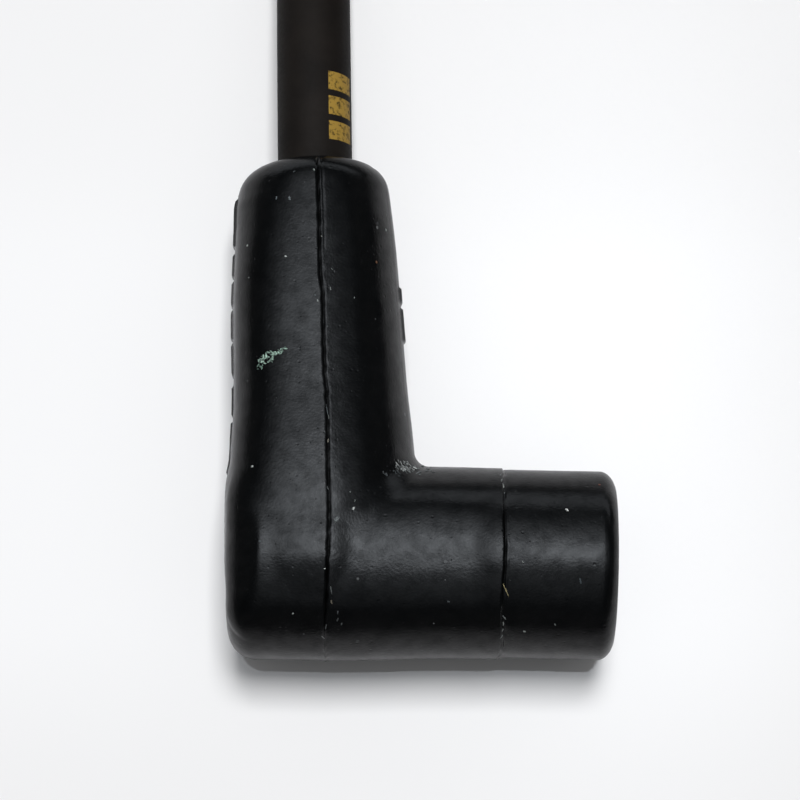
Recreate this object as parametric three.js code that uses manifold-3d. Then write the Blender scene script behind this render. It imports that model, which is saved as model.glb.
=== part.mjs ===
import * as THREE from 'three';
import { LoftGeometry } from 'three/addons/geometries/LoftGeometry.js';
import { mergeVertices } from 'three/addons/utils/BufferGeometryUtils.js';
import Module from 'manifold-3d';

// Spark plug lead lying on a table: a moulded rubber elbow boot with a snap terminal inside, 8 mm wire
// that leaves its cable leg, a tied coil of the rest of the wire, and a straight boot at the far end.
// Millimetres, +Z up. +X runs out of the elbow boot's socket and +Y towards the far end of the wire.

const wasm = await Module();
wasm.setup();

// Wire and fits
const wireDiameter = 8;
const coreDiameter = 2.6;
const clearance = 0.3;

// Elbow boot, from the point where the axes of its two legs cross
const socketDiameter = 20.2;
const socketReach = 31.3;
const sleeveStart = 18.6;
const sleeveStep = 0.15;
const elbowBack = 10.6;
const elbowRound = 3.7;
const mouthRound = 2.2;
const mouthChamfer = 0.6;
const socketBore = 10.5;
const socketFloor = 5.7;
const sealRibHeight = 0.5;
const sealRibWidth = 1.4;
const sealRibInsets = [4, 8, 12];
const cableLegLength = 42.8;
const cableLegLean = THREE.MathUtils.degToRad(2.9);
const cableLegEndDiameter = 15.3;
const cableLegRound = 2.9;
const crotchRound = 1.5;
const crotchShare = 0.9;

// The cable leg narrows in steps: height along the leg and diameter there
const cableLegTaper = [[7.1, 19.8], [11.9, 19.1], [22.3, 18], [30, 17.3]];

// Raised marks on the two flanks of the cable leg: where each starts and ends along the leg
const markHeight = 0.3;
const markWidth = 5;
const markRoot = 2.7;
const leftMarks = [[9.1, 15], [15.4, 18.9], [19.9, 23.5], [23.9, 27.1], [27.5, 30.2], [30.7, 33.3], [34, 38.8]];
const rightMarks = [[23.1, 26.9], [27.3, 29.2]];

// Snap terminals
const terminalWall = 0.6;
const terminalSocket = 6.6;
const plugCupLength = 13;
const barrelLength = 12;
const wireEndUp = 17;
const barrelLap = 1;
const barrelSeam = 0.8;
const neckWidth = 3.6;
const neckInset = 0.2;
const cupSlot = 0.8;
const cupSlotLength = 7;
const clipWire = 0.7;
const clipInset = 2.5;

// Straight boot at the far end
const farBootLength = 50;
const farBootEndDiameter = 13.2;
const farBootDiameter = 17.6;
const farBootTaperStart = 8;
const farBootTaperLength = 10;
const farBootRound = 1.4;
const farBarrelInset = 13;
const farWireInset = 24;
const farThroatLength = 6;
const farCupLength = 12;

// Coil and its ties
const coilMiddleRadius = 38;
const tieThickness = 1;
const tieWidth = 4.5;
const tieHead = 3;
const tieHeadOverhang = 1;
const tieAngles = [55, 125, 250];

// Route of the wire from the elbow boot to the coil: distance along the cable leg, how far it strays
// towards +X, and its drop below the leg's axis
const leadRoute = [
    [17, 0, 0], [23, 0, 0], [30, 0, 0], [37, 0, 0], [43, 0, 0], [49, 0.06, 0.18], [55, 0.13, 0.66],
    [61, 0.2, 1.48], [67, 0.28, 2.41], [73, 0.36, 3.24], [79, 0.43, 3.71], [85, 0.5, 3.49],
    [91, 0.55, 2.81], [97, 0.6, 2.19], [103, 0.63, 1.87], [110, 0.65, 1.61], [120, 0.65, 1.32],
];

// Route of the wire from the coil to the far boot: distance past the coil, height above the coil's top turn
const tailRoute = [
    [0, 0], [5, 0.2], [10, 0.6], [15, 1], [20, 1.15], [25, 0.8], [30, -0.2], [35, -1.5], [40, -2.6],
    [46, -3.35], [52, -3.43], [58, -3.43], [68, -3.43],
];

// Values that follow from the ones above
const wireRadius = wireDiameter / 2;
const gripRadius = wireRadius + clearance;
const barrelRadius = gripRadius + terminalWall;
const cupRadius = terminalSocket / 2 + terminalWall;
const clipRadius = cupRadius + clearance + clipWire / 2;
const cavityRadius = socketBore / 2;
const socketRadius = socketDiameter / 2;
const cableEndRadius = cableLegEndDiameter / 2;
const cupBack = -barrelRadius;
const farBootRadius = farBootDiameter / 2;
const turnHeight = tieThickness + clearance + wireRadius;
const topTurnRise = wireDiameter * Math.sin(Math.PI / 3);

// The boot rolls on its socket leg until the narrower cable leg touches the table
const cableLegTouch = cableLegLength - cableLegRound;
const cableLegRoll = Math.min(...[...cableLegTaper, [cableLegTouch, cableLegEndDiameter]].map(
    ([height, diameter]) => Math.asin(Math.min(1, socketRadius / Math.hypot(height, diameter / 2)))
        - Math.atan2(diameter / 2, height),
));

// The crossing of the legs' axes, placed so that the elbow boot is centred on the origin
const legRise = Math.cos(cableLegLean) * Math.cos(cableLegRoll);
const legTop = cableLegTouch * legRise
    + (cableEndRadius - cableLegRound) * Math.sqrt(1 - legRise ** 2) + cableLegRound;
const elbowX = (elbowBack - socketReach) / 2;
const elbowY = (socketRadius - legTop) / 2;
const elbowPlace = new THREE.Matrix4().makeTranslation(elbowX, elbowY, socketRadius);
const socketPlace = elbowPlace.clone().multiply(new THREE.Matrix4().makeRotationZ(-Math.PI / 2));
const rolledPlace = elbowPlace.clone().multiply(new THREE.Matrix4().makeRotationX(-cableLegRoll));
const cablePlace = rolledPlace.clone().multiply(new THREE.Matrix4().makeRotationZ(cableLegLean));

const rubber = new THREE.MeshStandardMaterial({ color: 0x16171a, roughness: 0.45, metalness: 0 });
const jacket = new THREE.MeshStandardMaterial({ color: 0x221e1c, roughness: 0.6, metalness: 0 });
const spring = new THREE.MeshStandardMaterial({ color: 0xb9bcc0, roughness: 0.3, metalness: 1 });
const brass = new THREE.MeshStandardMaterial({ color: 0xc2a25a, roughness: 0.35, metalness: 1 });
const carbon = new THREE.MeshStandardMaterial({ color: 0x1b1b1c, roughness: 0.8, metalness: 0 });
const nylon = new THREE.MeshStandardMaterial({ color: 0x1d1d1f, roughness: 0.5, metalness: 0 });

const group = new THREE.Group();

function addPiece(name, geometry, material) {
    const mesh = new THREE.Mesh(geometry, material.clone());
    mesh.name = name;
    group.add(mesh);
}

// A closed geometry as a solid that can be joined and cut
function solid(geometry, place = new THREE.Matrix4()) {
    const bare = new THREE.BufferGeometry().copy(geometry).applyMatrix4(place);
    bare.deleteAttribute('normal');
    bare.deleteAttribute('uv');
    const merged = mergeVertices(bare, 1e-4);
    const corners = Array.from(merged.index.array);
    const triangles = [];
    for (let i = 0; i < corners.length; i += 3) {
        const [a, b, c] = corners.slice(i, i + 3);
        if (a !== b && b !== c && c !== a) triangles.push(a, b, c);
    }
    return new wasm.Manifold(new wasm.Mesh({
        numProp: 3,
        vertProperties: new Float32Array(merged.attributes.position.array),
        triVerts: new Uint32Array(triangles),
    }));
}

function geometryOf(body) {
    const mesh = body.getMesh();
    const geometry = new THREE.BufferGeometry();
    geometry.setAttribute('position', new THREE.BufferAttribute(new Float32Array(mesh.vertProperties), 3));
    geometry.setIndex(new THREE.BufferAttribute(new Uint32Array(mesh.triVerts), 1));
    geometry.computeVertexNormals();
    return geometry;
}

// Points of an arc in the radius and height plane, between two angles in degrees
function round(centreRadius, centreHeight, radius, from, to, steps = 5) {
    const points = [];
    for (let i = 0; i <= steps; i += 1) {
        const angle = THREE.MathUtils.degToRad(from + (to - from) * i / steps);
        points.push([centreRadius + radius * Math.cos(angle), centreHeight + radius * Math.sin(angle)]);
    }
    return points;
}

function lathe(points, segments) {
    return new THREE.LatheGeometry(points.map(([r, h]) => new THREE.Vector2(r, h)), segments);
}

// A round bar between two heights, for bores
function bar(radius, low, high, segments = 40) {
    return lathe([[0, low], [radius, low], [radius, high], [0, high]], segments);
}

// A thin-walled sleeve between two heights
function sleeve(inner, outer, low, high, segments = 32) {
    return lathe([[outer, low], [outer, high], [inner, high], [inner, low], [outer, low]], segments);
}

// A round section carried along a path
function rod(path, diameter, sides, steps) {
    const section = new THREE.Shape();
    for (let i = 0; i < sides; i += 1) {
        const angle = 2 * Math.PI * i / sides;
        const x = Math.cos(angle) * diameter / 2;
        const y = Math.sin(angle) * diameter / 2;
        if (i === 0) section.moveTo(x, y);
        else section.lineTo(x, y);
    }
    return new THREE.ExtrudeGeometry(section, { steps, bevelEnabled: false, extrudePath: path });
}

// Elbow boot: one moulding, with the socket leg and the cable leg joined by a rounded crotch
function socketLeg() {
    const sleeveRadius = socketRadius - sleeveStep;
    return lathe([
        [0, -elbowBack],
        ...round(socketRadius - elbowRound, elbowRound - elbowBack, elbowRound, -90, 0),
        [socketRadius, sleeveStart],
        [sleeveRadius, sleeveStart + sleeveStep],
        ...round(sleeveRadius - mouthRound, socketReach - mouthRound, mouthRound, 0, 90, 4),
        [0, socketReach],
    ], 56);
}

function cableLeg() {
    return lathe([
        [0, 0],
        [socketRadius, 0],
        ...cableLegTaper.map(([height, diameter]) => [diameter / 2, height]),
        ...round(cableEndRadius - cableLegRound, cableLegTouch, cableLegRound, 0, 90),
        [0, cableLegLength],
    ], 56);
}

// Radius of the cable leg at a height along it
function cableLegRadiusAt(height) {
    const stops = [[0, socketDiameter], ...cableLegTaper, [cableLegTouch, cableLegEndDiameter]];
    const next = Math.max(1, stops.findIndex(([stop]) => stop > height));
    const [low, lowDiameter] = stops[next - 1];
    const [high, highDiameter] = stops[next];
    return THREE.MathUtils.mapLinear(height, low, high, lowDiameter, highDiameter) / 2;
}

// Fillet in the crotch: at each height it fills the corner between the two legs, and it dies out
// towards the top and the bottom of the boot
function crotchFillet() {
    const legRadius = cableLegRadiusAt(socketRadius);
    const reach = Math.min(legRadius, socketRadius) * crotchShare;
    const layers = 16;
    const arcSteps = 6;
    const sections = [];
    for (let i = 0; i <= layers; i += 1) {
        const z = reach * Math.sin(Math.PI * (i / layers - 0.5));
        const size = crotchRound * Math.sqrt(1 - (z / socketRadius) ** 2);
        const x = Math.sqrt(legRadius ** 2 - z ** 2) - Math.tan(cableLegLean) * socketRadius;
        const y = Math.sqrt(socketRadius ** 2 - z ** 2);
        const section = [new THREE.Vector3(x - size, y - size, z), new THREE.Vector3(x + size, y - size, z)];
        for (let j = 0; j <= arcSteps; j += 1) {
            const angle = Math.PI / 2 * j / arcSteps;
            section.push(new THREE.Vector3(
                x + size * (1 - Math.sin(angle)),
                y + size * (1 - Math.cos(angle)),
                z,
            ));
        }
        section.push(new THREE.Vector3(x - size, y + size, z));
        sections.push(section);
    }
    return new LoftGeometry(sections, { capStart: true, capEnd: true });
}

// A raised mark is a slab of the leg's own taper, standing proud on one flank
function flankMark([low, high], side) {
    const sections = [low, high].map((height) => {
        const outer = side * (cableLegRadiusAt(height) + markHeight);
        const inner = outer - side * (markHeight + markRoot);
        const corners = [[inner, -1], [outer, -1], [outer, 1], [inner, 1]];
        return corners.map(([x, z]) => new THREE.Vector3(x, height, side * z * markWidth / 2));
    });
    return new LoftGeometry(sections.map((section) => section.reverse()), { capStart: true, capEnd: true });
}

function socketHollow() {
    const ribs = [];
    for (const inset of [...sealRibInsets].reverse()) {
        const height = socketReach - inset;
        ribs.push([cavityRadius, height - sealRibWidth / 2], [cavityRadius - sealRibHeight, height]);
        ribs.push([cavityRadius, height + sealRibWidth / 2]);
    }
    return lathe([
        [0, -socketFloor],
        [cavityRadius, -socketFloor],
        ...ribs,
        [cavityRadius, socketReach - mouthChamfer],
        [cavityRadius + 2 * mouthChamfer, socketReach + mouthChamfer],
        [0, socketReach + mouthChamfer],
    ], 40);
}

const barrelTop = wireEndUp - barrelLap + barrelLength;

function elbowBoot() {
    let body = solid(socketLeg(), socketPlace).add(solid(cableLeg(), cablePlace));
    body = body.add(solid(crotchFillet(), rolledPlace));
    for (const mark of leftMarks) body = body.add(solid(flankMark(mark, -1), cablePlace));
    for (const mark of rightMarks) body = body.add(solid(flankMark(mark, 1), cablePlace));
    body = body.subtract(solid(socketHollow(), socketPlace));
    body = body.subtract(solid(bar(cavityRadius, 0, barrelTop + 1), cablePlace));
    return body.subtract(solid(bar(gripRadius, 0, cableLegLength + 1), cablePlace));
}
addPiece('plug_boot', geometryOf(elbowBoot()), rubber);

// Cup of a snap terminal along its axis, slotted at its mouth so that it springs over the plug's nut
function slottedCup(back, length) {
    let cup = solid(sleeve(terminalSocket / 2, cupRadius, back, back + length));
    const slot = new THREE.BoxGeometry(cupSlot, cupSlotLength + 1, 3 * cupRadius);
    slot.translate(0, back + length + 1 - (cupSlotLength + 1) / 2, 0);
    cup = cup.subtract(solid(slot));
    return cup.subtract(solid(slot, new THREE.Matrix4().makeRotationY(Math.PI / 2)));
}

// Crimp barrel round the wire, open along its seam
function crimpBarrel(low, high) {
    const seam = new THREE.BoxGeometry(2 * terminalWall + clearance, high - low + 2, barrelSeam);
    seam.translate(barrelRadius - terminalWall / 2, (low + high) / 2, 0);
    return solid(sleeve(gripRadius, barrelRadius, low, high)).subtract(solid(seam));
}

// Right-angle terminal: crimp barrel, a flat neck down the back of the elbow, and the cup that the
// neck closes
function plugTerminal() {
    const neckTop = wireEndUp - clearance;
    const neckFoot = -terminalSocket / 2;
    const neck = new THREE.BoxGeometry(terminalWall, neckTop - neckFoot, neckWidth);
    neck.translate(neckInset + terminalWall / 2 - barrelRadius, (neckTop + neckFoot) / 2, 0);
    const upper = crimpBarrel(wireEndUp - barrelLap, barrelTop).add(solid(neck)).transform(cablePlace.elements);
    const back = solid(bar(cupRadius, cupBack, cupBack + terminalWall, 32));
    return slottedCup(cupBack, plugCupLength).add(back).transform(socketPlace.elements).add(upper);
}
addPiece('plug_terminal', geometryOf(plugTerminal()), spring);

// Round spring clip that hugs the cup
function springClip(height) {
    const points = round(clipRadius, height, clipWire / 2, 0, 360, 8);
    return lathe(points, 32);
}
addPiece('plug_terminal_clip', springClip(cupBack + plugCupLength - clipInset).applyMatrix4(socketPlace), brass);

// Bared end of the wire's core, bent over onto the neck of the terminal
const neckFace = neckInset + terminalWall + clearance - barrelRadius;
const plugCore = rod(new THREE.CatmullRomCurve3([
    new THREE.Vector3(0, wireEndUp - clearance, 0),
    new THREE.Vector3(-0.2, wireEndUp - 2.4, 0),
    new THREE.Vector3(-1.6, wireEndUp - 4.2, 0),
    new THREE.Vector3(neckFace, wireEndUp - 4.8, 0),
]), coreDiameter, 8, 8);
addPiece('plug_end_core', plugCore.applyMatrix4(cablePlace), carbon);

// Coil: two turns side by side on the table and a third strand on top of them
const [coilStart, coilSide] = leadRoute.at(-1);
const coilOuterRadius = coilMiddleRadius + wireRadius;
const coilCentre = new THREE.Vector3(coilOuterRadius + coilSide, coilStart, 0).applyMatrix4(cablePlace);
coilCentre.z = 0;

function coilRing(grow = 0) {
    const low = turnHeight - wireRadius - grow;
    const side = turnHeight + wireRadius / 2;
    const top = turnHeight + topTurnRise + wireRadius + grow;
    const outer = coilMiddleRadius + wireDiameter + grow;
    const inner = coilMiddleRadius - wireDiameter - grow;
    const points = [
        [inner + 1, low], [outer - 1, low], [outer, low + 1], [outer, side],
        [coilMiddleRadius + wireRadius - 1, top], [coilMiddleRadius - wireRadius + 1, top],
        [inner, side], [inner, low + 1], [inner + 1, low],
    ];
    const ring = lathe(points, 72);
    ring.rotateX(Math.PI / 2);
    ring.translate(coilCentre.x, coilCentre.y, 0);
    return ring;
}
addPiece('wire_coil', coilRing(), jacket);

// Wire out of the elbow boot and down to the coil
const leadPath = new THREE.CatmullRomCurve3(
    leadRoute.map(([along, side, drop]) => new THREE.Vector3(side, along, -drop).applyMatrix4(cablePlace)),
    false, 'centripetal',
);
const coilSpace = solid(coilRing(clearance));
const lead = solid(rod(leadPath, wireDiameter, 12, 28)).subtract(coilSpace);
addPiece('wire_lead', geometryOf(lead), jacket);

// Wire off the top of the coil on its far side, and down into the far boot, which points back past the
// elbow boot
const tailPlace = new THREE.Matrix4().makeRotationZ(cableLegLean + Math.PI);
const tailStart = new THREE.Vector3(-coilMiddleRadius, 0, 0).applyMatrix4(tailPlace).add(coilCentre);
tailPlace.setPosition(tailStart.x, tailStart.y, turnHeight + topTurnRise);
const tailPath = new THREE.CatmullRomCurve3(
    tailRoute.map(([along, rise]) => new THREE.Vector3(0, along, rise).applyMatrix4(tailPlace)),
    false, 'centripetal',
);
const tail = solid(rod(tailPath, wireDiameter, 12, 20)).subtract(coilSpace);
addPiece('wire_tail', geometryOf(tail), jacket);

// Far boot: a straight moulding with the same bores, resting on the table beside the coil
const farBootStart = tailRoute.at(-1)[0] - farWireInset;
const farPlace = new THREE.Matrix4().makeRotationZ(cableLegLean + Math.PI);
const farBootFoot = new THREE.Vector3(0, farBootStart, 0).applyMatrix4(tailPlace);
farPlace.setPosition(farBootFoot.x, farBootFoot.y, farBootRadius);

function farBoot() {
    const endRadius = farBootEndDiameter / 2;
    const outside = lathe([
        [0, 0],
        ...round(endRadius - farBootRound, farBootRound, farBootRound, -90, 0, 4),
        [endRadius, farBootTaperStart],
        [farBootRadius, farBootTaperStart + farBootTaperLength],
        ...round(farBootRadius - farBootRound, farBootLength - farBootRound, farBootRound, 0, 90, 4),
        [0, farBootLength],
    ], 48);
    const cavity = lathe([
        [0, farBarrelInset],
        [cavityRadius, farBarrelInset],
        [cavityRadius, farBootLength - mouthChamfer],
        [cavityRadius + 2 * mouthChamfer, farBootLength + mouthChamfer],
        [0, farBootLength + mouthChamfer],
    ], 40);
    return solid(outside).subtract(solid(cavity)).subtract(solid(bar(gripRadius, -1, farBarrelInset + 1)));
}
addPiece('distributor_boot', geometryOf(farBoot()).applyMatrix4(farPlace), rubber);

// Straight terminal: crimp barrel, a throat that narrows to the cup, and the slotted cup
const farCupBack = farWireInset + farThroatLength;

function farTerminal() {
    const throat = lathe([
        [barrelRadius, farWireInset], [cupRadius, farCupBack], [cupRadius, farCupBack + 1],
        [terminalSocket / 2, farCupBack + 1], [terminalSocket / 2, farCupBack], [gripRadius, farWireInset],
        [barrelRadius, farWireInset],
    ], 32);
    const barrel = crimpBarrel(farBarrelInset + clearance, farWireInset);
    return barrel.add(solid(throat)).add(slottedCup(farCupBack, farCupLength));
}
addPiece('distributor_terminal', geometryOf(farTerminal()).applyMatrix4(farPlace), spring);

const farClip = springClip(farCupBack + farCupLength - clipInset);
addPiece('distributor_terminal_clip', farClip.applyMatrix4(farPlace), brass);

const farCore = bar(coreDiameter / 2, farWireInset + clearance, farCupBack, 8);
addPiece('distributor_end_core', farCore.applyMatrix4(farPlace), carbon);

// Ties: a flat band with a square head, drawn round all the strands of the coil
function coilTie(angle) {
    const low = tieThickness;
    const side = turnHeight + wireRadius / 2 + clearance / 2;
    const top = turnHeight + topTurnRise + wireRadius + clearance;
    const half = wireDiameter + clearance;
    const flat = wireRadius - 2 * clearance;
    const inside = [
        [-half, low], [half, low], [half, side], [flat, top], [-flat, top], [-half, side],
    ];
    const edge = half + tieThickness;
    const shoulder = side + tieThickness / 3;
    const outside = [
        [-edge, 0], [edge, 0], [edge, shoulder],
        [wireRadius, top + tieThickness], [-wireRadius, top + tieThickness],
        [-edge, shoulder],
    ];
    const band = new THREE.Shape(outside.map(([x, y]) => new THREE.Vector2(x, y)));
    band.holes.push(new THREE.Path(inside.map(([x, y]) => new THREE.Vector2(x, y))));
    const body = new THREE.ExtrudeGeometry(band, { depth: tieWidth, bevelEnabled: false });
    body.translate(0, 0, -tieWidth / 2);
    const head = new THREE.BoxGeometry(tieHead, tieHead, tieWidth + 2 * tieHeadOverhang);
    head.translate(half + (tieHead + tieThickness) / 2, side / 2 + tieHead / 4, 0);
    const place = new THREE.Matrix4().makeTranslation(coilCentre.x, coilCentre.y, 0)
        .multiply(new THREE.Matrix4().makeRotationZ(THREE.MathUtils.degToRad(angle)))
        .multiply(new THREE.Matrix4().makeTranslation(coilMiddleRadius, 0, 0))
        .multiply(new THREE.Matrix4().makeRotationX(Math.PI / 2));
    return geometryOf(solid(body).add(solid(head))).applyMatrix4(place);
}
tieAngles.forEach((angle, i) => addPiece(`coil_tie_${i + 1}`, coilTie(angle), nylon));

export default group;
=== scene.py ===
import bmesh
import bpy
import numpy as np
from mathutils import Matrix, Vector
from mathutils.bvhtree import BVHTree


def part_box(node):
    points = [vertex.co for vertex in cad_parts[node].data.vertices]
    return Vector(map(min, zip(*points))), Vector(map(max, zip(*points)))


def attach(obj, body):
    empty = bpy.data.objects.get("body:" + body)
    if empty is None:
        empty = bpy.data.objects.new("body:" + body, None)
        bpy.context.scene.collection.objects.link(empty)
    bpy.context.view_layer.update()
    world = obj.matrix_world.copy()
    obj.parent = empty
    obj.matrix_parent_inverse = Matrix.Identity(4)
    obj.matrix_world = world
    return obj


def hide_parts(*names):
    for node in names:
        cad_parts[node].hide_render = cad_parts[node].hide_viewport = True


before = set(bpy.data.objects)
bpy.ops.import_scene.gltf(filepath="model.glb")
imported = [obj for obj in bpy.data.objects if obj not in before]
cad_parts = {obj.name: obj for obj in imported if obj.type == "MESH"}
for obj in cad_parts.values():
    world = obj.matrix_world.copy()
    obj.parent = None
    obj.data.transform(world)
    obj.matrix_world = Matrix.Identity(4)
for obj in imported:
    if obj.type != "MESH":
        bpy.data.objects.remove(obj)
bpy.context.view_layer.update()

# Frame of the lead. The elbow boot lies on its side with its socket leg along +X. Its cable leg runs
# towards +Y, leans a little back from square and sinks until it touches the table. All sizes are metres.
MM = 0.001
SOCKET_RADIUS = 10.1 * MM
SOCKET_REACH = 31.3 * MM
CABLE_LEG_LENGTH = 42.8 * MM
CABLE_LEG_LEAN = np.radians(2.9)
CABLE_LEG_ROLL = np.radians(1.647)
boot_low, boot_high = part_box("plug_boot")
elbow = np.array([boot_high.x - SOCKET_REACH, boot_low.y + SOCKET_RADIUS, SOCKET_RADIUS])


def turn(axis, angle):
    """Rotation by an angle in radians about one axis of the frame, as a 3 by 3 array."""
    return np.array(Matrix.Rotation(angle, 3, axis))


cable_turn = turn("X", -CABLE_LEG_ROLL) @ turn("Z", CABLE_LEG_LEAN)


def from_cable(points):
    """Points given in the cable leg's own axes, with Y along the leg, as points of the frame."""
    return points @ cable_turn.T + elbow


def to_cable(points):
    """Points of the frame in the cable leg's own axes."""
    return (points - elbow) @ cable_turn


# Camera. It looks down on the boot from 288 mm, tipped nine degrees from the near side, and turned so
# that the socket leg droops a little to the right.
VIEW_WIDTH = 85.36 * MM
VIEW_DISTANCE = 288 * MM
VIEW_TILT = np.radians(9.3)
VIEW_ROLL = np.radians(1.2)
VIEW_CENTRE = elbow + np.array([7.58, 17.3, 0]) * MM

view_right = np.array([np.cos(VIEW_ROLL), np.sin(VIEW_ROLL), 0])
view_back = np.array([
    np.sin(VIEW_ROLL) * np.sin(VIEW_TILT),
    -np.cos(VIEW_ROLL) * np.sin(VIEW_TILT),
    np.cos(VIEW_TILT),
])
camera = bpy.data.objects.new("camera", bpy.data.cameras.new("camera"))
bpy.context.collection.objects.link(camera)
camera_turn = Matrix(np.column_stack([view_right, np.cross(view_back, view_right), view_back]).tolist())
camera.matrix_world = (
    Matrix.Translation(Vector(VIEW_CENTRE + VIEW_DISTANCE * view_back)) @ camera_turn.to_4x4()
)
camera.data.sensor_width = 36
camera.data.lens = 36 * VIEW_DISTANCE / VIEW_WIDTH
camera.data.clip_start = 0.01
camera.data.clip_end = 5
bpy.context.scene.camera = camera


# Wire. An 8 mm ignition lead: silicone rubber extruded over a carbon cord, dull brownish black. It runs
# straight out of the cable leg, sinks to the table and is wound into a coil of two turns side by side,
# with a third strand on top, and it ends in the far boot beside the elbow.
WIRE_DIAMETER = 8 * MM
COIL_RADIUS = 38 * MM
COIL_TURNS = 2.5
COIL_HEIGHT = 5.3 * MM
LEAD_ROUTE = [
    (17, 0, 0), (23, 0, 0), (30, 0, 0), (37, 0, 0), (43, 0, 0), (49, 0.06, 0.18), (55, 0.13, 0.66),
    (61, 0.2, 1.48), (67, 0.28, 2.41), (73, 0.36, 3.24), (79, 0.43, 3.71), (85, 0.5, 3.49),
    (91, 0.55, 2.81), (97, 0.6, 2.19), (103, 0.63, 1.87), (110, 0.65, 1.61), (120, 0.65, 1.32),
]
TAIL_ROUTE = [
    (0, 0), (5, 0.2), (10, 0.6), (15, 1), (20, 1.15), (25, 0.8), (30, -0.2), (35, -1.5), (40, -2.6),
    (46, -3.35), (52, -3.43), (58, -3.43), (68, -3.43),
]
lead_points = from_cable(np.array([(side, along, -drop) for along, side, drop in LEAD_ROUTE]) * MM)
flat_turn = turn("Z", CABLE_LEG_LEAN)
coil_centre = from_cable(np.array([WIRE_DIAMETER / 2 + COIL_RADIUS + 0.65 * MM, 0.12, 0]))
coil_centre[2] = 0


def ease(x):
    """Smooth step from 0 to 1."""
    x = np.clip(x, 0, 1)
    return x * x * (3 - 2 * x)


def coil_strand(angle):
    """Radius and height of the strand at an angle from the start of the coil. The first turn runs outside
    and moves in at its end. The second runs inside it, then climbs over it, always a diameter away."""
    half = WIRE_DIAMETER / 2
    share = angle / (2 * np.pi)
    below = COIL_RADIUS + half - WIRE_DIAMETER * ease(((share % 1) - 0.75) / 0.25)
    if share < 1:
        return below, COIL_HEIGHT
    if share >= 2:
        below = COIL_RADIUS - half
    over = np.arccos(np.clip((COIL_RADIUS - below) / WIRE_DIAMETER, -1, 1))
    climb = np.pi + (over - np.pi) * ease((share - 1.52) / 0.22)
    return below + WIRE_DIAMETER * np.cos(climb), COIL_HEIGHT + WIRE_DIAMETER * np.sin(climb)


coil_points = []
for angle in np.linspace(0, COIL_TURNS * 2 * np.pi, 121)[1:]:
    radius, height = coil_strand(angle)
    flat = np.array([-radius * np.cos(angle), radius * np.sin(angle), 0])
    coil_points.append(flat_turn @ flat + coil_centre + np.array([0, 0, height]))
coil_points = np.array(coil_points)

tail_foot = flat_turn @ np.array([COIL_RADIUS, 0, 0]) + coil_centre
tail_foot[2] = COIL_HEIGHT + WIRE_DIAMETER * np.sin(np.pi / 3)
tail_points = np.array([(0, -along, rise) for along, rise in TAIL_ROUTE]) * MM @ flat_turn.T + tail_foot
route = np.concatenate([lead_points, coil_points, tail_points[1:]])


def curve_between(t, h, first, last, first_slope, last_slope):
    """Cubic curve at a share t of a stretch of length h, from the values and slopes at its two ends."""
    return (
        (2 * t**3 - 3 * t**2 + 1) * first + (t**3 - 2 * t**2 + t) * h * first_slope
        + (3 * t**2 - 2 * t**3) * last + (t**3 - t**2) * h * last_slope
    )


def smooth_path(points, step):
    """Cubic curve through the points, by chord length, as points a step apart."""
    chord = np.linalg.norm(np.diff(points, axis=0), axis=1)
    at = np.concatenate([[0], np.cumsum(chord)])
    slope = np.gradient(points, at, axis=0)
    places = np.linspace(0, at[-1], int(at[-1] / step) + 1)
    i = np.clip(np.searchsorted(at, places, side="right") - 1, 0, len(chord) - 1)
    h = chord[i][:, None]
    t = ((places - at[i]) / chord[i])[:, None]
    return curve_between(t, h, points[i], points[i + 1], slope[i], slope[i + 1])


def new_piece(name, vertices, faces, smooth=True):
    """A mesh object at the origin, with its place in its vertices."""
    mesh = bpy.data.meshes.new(name)
    mesh.from_pydata(np.asarray(vertices).tolist(), [], [list(map(int, face)) for face in faces])
    mesh.validate()
    mesh.update()
    mesh.polygons.foreach_set("use_smooth", [smooth] * len(mesh.polygons))
    piece = bpy.data.objects.new(name, mesh)
    bpy.context.collection.objects.link(piece)
    return piece


def grid_faces(rows, columns, wrap=True):
    """Quads between neighbouring points of a grid, as one array; wrap joins the last column to the first."""
    index = np.arange(rows * columns).reshape(rows, columns)
    across = np.roll(index, -1, axis=1) if wrap else index[:, 1:]
    near = index if wrap else index[:, :-1]
    quads = np.stack([near[:-1], near[1:], across[1:], across[:-1]], axis=-1)
    return quads.reshape(-1, 4)


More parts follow.
